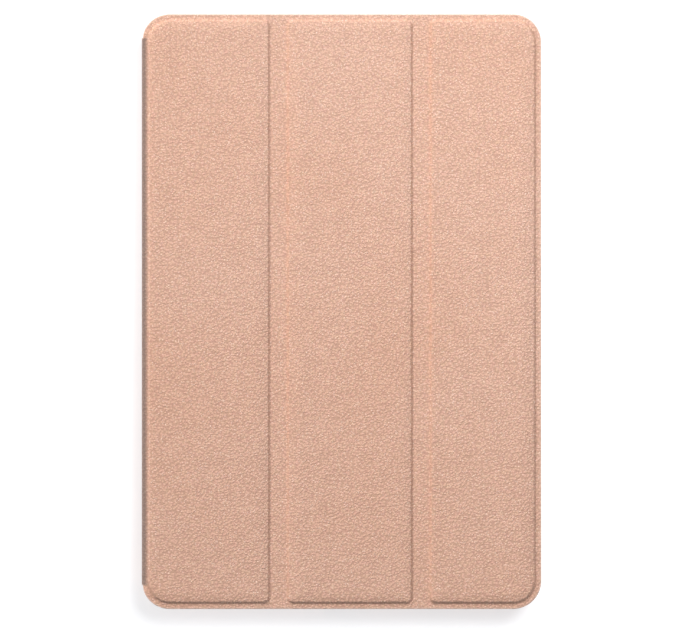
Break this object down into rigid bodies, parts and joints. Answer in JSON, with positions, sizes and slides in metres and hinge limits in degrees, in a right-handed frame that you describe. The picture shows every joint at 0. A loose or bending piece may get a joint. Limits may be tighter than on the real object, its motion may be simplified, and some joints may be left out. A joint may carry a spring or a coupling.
{
  "type": "tablet computer in a tri-fold folio case",
  "caption": "Slim tablet computer snapped into a shell with a soft leather folio cover that opens, folds into a triangular stand and closes over the screen.",
  "frame": {"origin": "middle of the back face, on the surface that the closed tablet lies on", "axes": "+Z out of the front cover, +Y along the long side to the top edge with the rear camera, +X from the spine to the opening side"},
  "size_m": [0.17, 0.253, 0.012],
  "materials": {
    "pu_leather": "pebbled, satin",
    "microfibre": "brushed microfibre",
    "grey_board": "pressed grey fibre board",
    "case_shell_plastic": "satin moulded polycarbonate",
    "sheet_steel": "stamped steel",
    "magnet": "nickel plated",
    "anodised_aluminium": "bead blasted and anodised",
    "antenna_plastic": "moulded in, satin",
    "screen_glass": "black printed border, gloss",
    "backlight_plastic": "white light guide",
    "adhesive": "pressure sensitive tape",
    "battery_pouch": "laminated foil pouch",
    "circuit_board": "solder resist",
    "flat_cable": "polyimide film",
    "component_black": "moulded black plastic",
    "contact_brass": "gold flashed"
  },
  "bodies": {
    "tablet": {"case_back_leather": "pu_leather", "case_felt": "microfibre", "case_shell": "case_shell_plastic", "display_shield": "sheet_steel", "processor_shield": "sheet_steel", "radio_shield": "sheet_steel", "usb_c_receptacle": "sheet_steel", "key_bracket": "sheet_steel", "card_reader": "sheet_steel", "board_screws": "sheet_steel", "frame_screws": "sheet_steel", "speaker_meshes": "sheet_steel", "rear_housing": "anodised_aluminium", "mid_frame": "anodised_aluminium", "rear_camera_ring": "anodised_aluminium", "antenna_windows": "antenna_plastic", "cover_glass": "screen_glass", "lcd_cell": "screen_glass", "rear_camera_lens": "screen_glass", "backlight_unit": "backlight_plastic", "display_adhesive": "adhesive", "battery_adhesive": "adhesive", "battery_cell_left": "battery_pouch", "battery_cell_right": "battery_pouch", "main_board": "circuit_board", "port_board": "circuit_board", "battery_protection_board": "circuit_board", "display_flex": "flat_cable", "interconnect_flex": "flat_cable", "key_switches": "flat_cable", "speaker_top_left": "component_black", "speaker_top_right": "component_black", "speaker_bottom_left": "component_black", "speaker_bottom_right": "component_black", "front_camera": "component_black", "rear_camera": "component_black", "hall_sensor": "component_black", "light_sensor": "component_black", "thermal_sheet": "component_black", "microphones": "contact_brass", "wifi_antennas": "contact_brass"},
    "spine": {"spine_leather": "pu_leather", "spine_board": "grey_board", "spine_lining": "microfibre"},
    "panel_1": {"panel_1_leather": "pu_leather", "panel_1_board": "grey_board", "panel_1_lining": "microfibre", "stand_steel_strip": "sheet_steel"},
    "panel_2": {"panel_2_leather": "pu_leather", "panel_2_board": "grey_board", "panel_2_lining": "microfibre"},
    "panel_3": {"panel_3_leather": "pu_leather", "panel_3_board": "grey_board", "panel_3_lining": "microfibre", "closing_magnets": "magnet", "wake_magnet": "magnet"},
    "power_key": {"power_key": "anodised_aluminium"},
    "volume_key": {"volume_key": "anodised_aluminium"},
    "card_tray": {"card_tray": "anodised_aluminium"}
  },
  "joints": [
    {"name": "spine_hinge", "type": "hinge", "parent": "tablet", "child": "spine", "pos_m": [-0.08441, 0, 0.00059], "axis": [0, 1, 0], "range_deg": [-90, 0]},
    {"name": "cover_hinge", "type": "hinge", "parent": "spine", "child": "panel_1", "pos_m": [-0.08441, 0, 0.01021], "axis": [0, -1, 0], "range_deg": [0, 180]},
    {"name": "fold_1", "type": "hinge", "parent": "panel_1", "child": "panel_2", "pos_m": [-0.02675, 0, 0.0098], "axis": [0, -1, 0], "range_deg": [-120, 0]},
    {"name": "fold_2", "type": "hinge", "parent": "panel_2", "child": "panel_3", "pos_m": [0.03395, 0, 0.0098], "axis": [0, -1, 0], "range_deg": [-120, 0]},
    {"name": "power_key_press", "type": "slide", "parent": "tablet", "child": "power_key", "axis": [-1, 0, 0], "range_m": [0, 0.0003], "stiffness_N_per_m": 800},
    {"name": "volume_key_rock", "type": "hinge", "parent": "tablet", "child": "volume_key", "pos_m": [0.0782, 0.048, 0.0056], "axis": [0, 0, 1], "range_deg": [-1.2, 1.2], "stiffness_Nm_per_rad": 0.2},
    {"name": "card_tray_slide", "type": "slide", "parent": "tablet", "child": "card_tray", "axis": [1, 0, 0], "range_m": [0, 0.022]}
  ],
  "couplings": [
    {"joint": "fold_1", "follows": "cover_hinge", "ratio": -0.66667},
    {"joint": "fold_2", "follows": "cover_hinge", "ratio": -0.66667}
  ]
}
